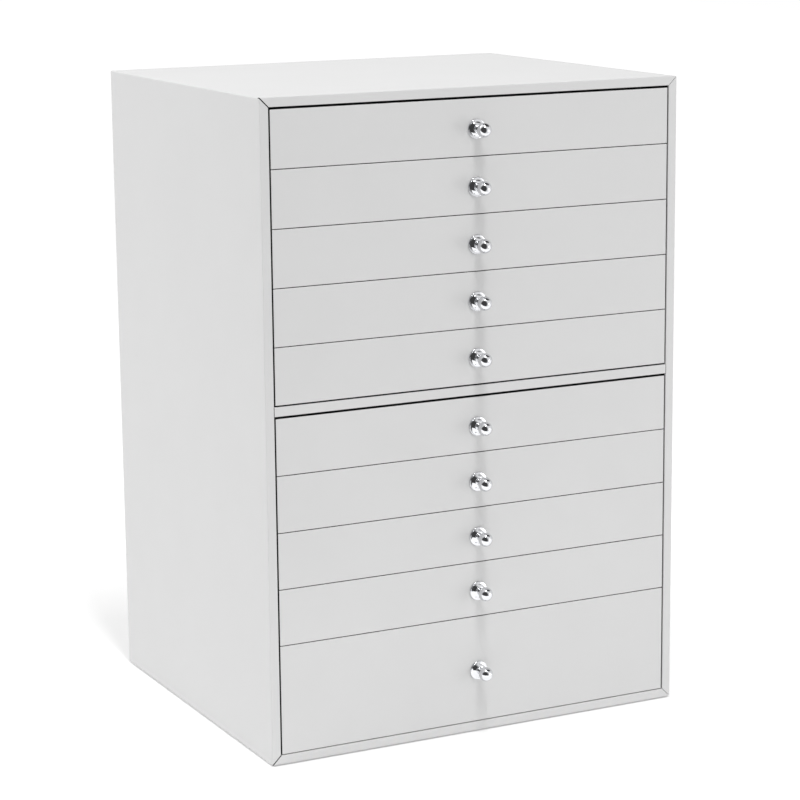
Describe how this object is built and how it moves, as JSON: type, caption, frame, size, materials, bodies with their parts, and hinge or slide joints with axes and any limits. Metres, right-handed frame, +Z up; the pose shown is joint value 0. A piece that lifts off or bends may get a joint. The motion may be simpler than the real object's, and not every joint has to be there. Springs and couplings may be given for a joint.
{
  "type": "jewelry cabinet",
  "caption": "White leatherette jewellery cabinet with flush slim drawers, a deep bottom drawer, chrome ball knobs and velvet-lined trays.",
  "frame": {"origin": "middle of the underside, on the resting face of the base felt", "axes": "+Z up, +X to the right seen from the front, drawers pull out along -Y"},
  "size_m": [0.295, 0.2647, 0.42],
  "materials": {
    "white_leatherette": "satin",
    "black_card": "matte",
    "black_velvet": "matte",
    "chrome": "polished",
    "screw_steel": "satin",
    "black_felt": "matte"
  },
  "bodies": {
    "case": {"base_panel": "white_leatherette", "side_left": "white_leatherette", "side_right": "white_leatherette", "top_panel": "white_leatherette", "back_panel": "white_leatherette", "middle_shelf": "white_leatherette", "lower_dividers": "black_card", "upper_dividers": "black_card", "base_felt": "black_felt"},
    "drawer_1": {"drawer_1_front": "white_leatherette", "drawer_1_tray": "black_card", "drawer_1_lining": "black_velvet", "drawer_1_knob": "chrome", "drawer_1_knob_screw": "screw_steel"},
    "drawer_2": {"drawer_2_front": "white_leatherette", "drawer_2_tray": "black_card", "drawer_2_lining": "black_velvet", "drawer_2_knob": "chrome", "drawer_2_knob_screw": "screw_steel"},
    "drawer_3": {"drawer_3_front": "white_leatherette", "drawer_3_tray": "black_card", "drawer_3_lining": "black_velvet", "drawer_3_knob": "chrome", "drawer_3_knob_screw": "screw_steel"},
    "drawer_4": {"drawer_4_front": "white_leatherette", "drawer_4_tray": "black_card", "drawer_4_lining": "black_velvet", "drawer_4_knob": "chrome", "drawer_4_knob_screw": "screw_steel"},
    "drawer_5": {"drawer_5_front": "white_leatherette", "drawer_5_tray": "black_card", "drawer_5_lining": "black_velvet", "drawer_5_knob": "chrome", "drawer_5_knob_screw": "screw_steel"},
    "drawer_6": {"drawer_6_front": "white_leatherette", "drawer_6_tray": "black_card", "drawer_6_lining": "black_velvet", "drawer_6_knob": "chrome", "drawer_6_knob_screw": "screw_steel"},
    "drawer_7": {"drawer_7_front": "white_leatherette", "drawer_7_tray": "black_card", "drawer_7_lining": "black_velvet", "drawer_7_knob": "chrome", "drawer_7_knob_screw": "screw_steel"},
    "drawer_8": {"drawer_8_front": "white_leatherette", "drawer_8_tray": "black_card", "drawer_8_lining": "black_velvet", "drawer_8_knob": "chrome", "drawer_8_knob_screw": "screw_steel"},
    "drawer_9": {"drawer_9_front": "white_leatherette", "drawer_9_tray": "black_card", "drawer_9_lining": "black_velvet", "drawer_9_knob": "chrome", "drawer_9_knob_screw": "screw_steel"},
    "drawer_10": {"drawer_10_front": "white_leatherette", "drawer_10_tray": "black_card", "drawer_10_lining": "black_velvet", "drawer_10_knob": "chrome", "drawer_10_knob_screw": "screw_steel"}
  },
  "joints": [
    {"name": "drawer_1_slide", "type": "slide", "parent": "case", "child": "drawer_1", "axis": [0, -1, 0], "range_m": [0, 0.19]},
    {"name": "drawer_2_slide", "type": "slide", "parent": "case", "child": "drawer_2", "axis": [0, -1, 0], "range_m": [0, 0.19]},
    {"name": "drawer_3_slide", "type": "slide", "parent": "case", "child": "drawer_3", "axis": [0, -1, 0], "range_m": [0, 0.19]},
    {"name": "drawer_4_slide", "type": "slide", "parent": "case", "child": "drawer_4", "axis": [0, -1, 0], "range_m": [0, 0.19]},
    {"name": "drawer_5_slide", "type": "slide", "parent": "case", "child": "drawer_5", "axis": [0, -1, 0], "range_m": [0, 0.19]},
    {"name": "drawer_6_slide", "type": "slide", "parent": "case", "child": "drawer_6", "axis": [0, -1, 0], "range_m": [0, 0.19]},
    {"name": "drawer_7_slide", "type": "slide", "parent": "case", "child": "drawer_7", "axis": [0, -1, 0], "range_m": [0, 0.19]},
    {"name": "drawer_8_slide", "type": "slide", "parent": "case", "child": "drawer_8", "axis": [0, -1, 0], "range_m": [0, 0.19]},
    {"name": "drawer_9_slide", "type": "slide", "parent": "case", "child": "drawer_9", "axis": [0, -1, 0], "range_m": [0, 0.19]},
    {"name": "drawer_10_slide", "type": "slide", "parent": "case", "child": "drawer_10", "axis": [0, -1, 0], "range_m": [0, 0.19]}
  ]
}
